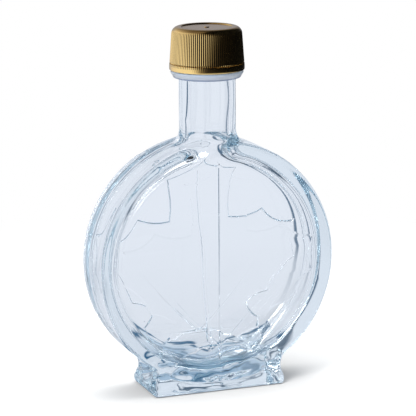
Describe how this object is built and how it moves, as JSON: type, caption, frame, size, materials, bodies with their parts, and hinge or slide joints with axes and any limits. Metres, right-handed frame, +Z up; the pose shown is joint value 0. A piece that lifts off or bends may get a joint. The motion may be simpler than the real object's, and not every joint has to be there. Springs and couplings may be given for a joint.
{
  "type": "flat round glass flask with screw closure",
  "caption": "Clear glass flask with a flat round body on a block foot, a straight neck, a leaf in relief on its faces and a ribbed gold screw closure.",
  "frame": {"origin": "middle of the underside of the foot", "axes": "+Z up along the neck, +Y through the flat body from the front face to the back face, +X to the right seen from the front"},
  "size_m": [0.0934, 0.0282, 0.1381],
  "materials": {
    "clear_glass": "clear moulded flint glass, very pale blue, smooth",
    "gold_plastic": "injection-moulded, gold metallised and lacquered"
  },
  "bodies": {
    "root": {"bottle": "clear_glass", "cap": "gold_plastic"}
  },
  "joints": []
}
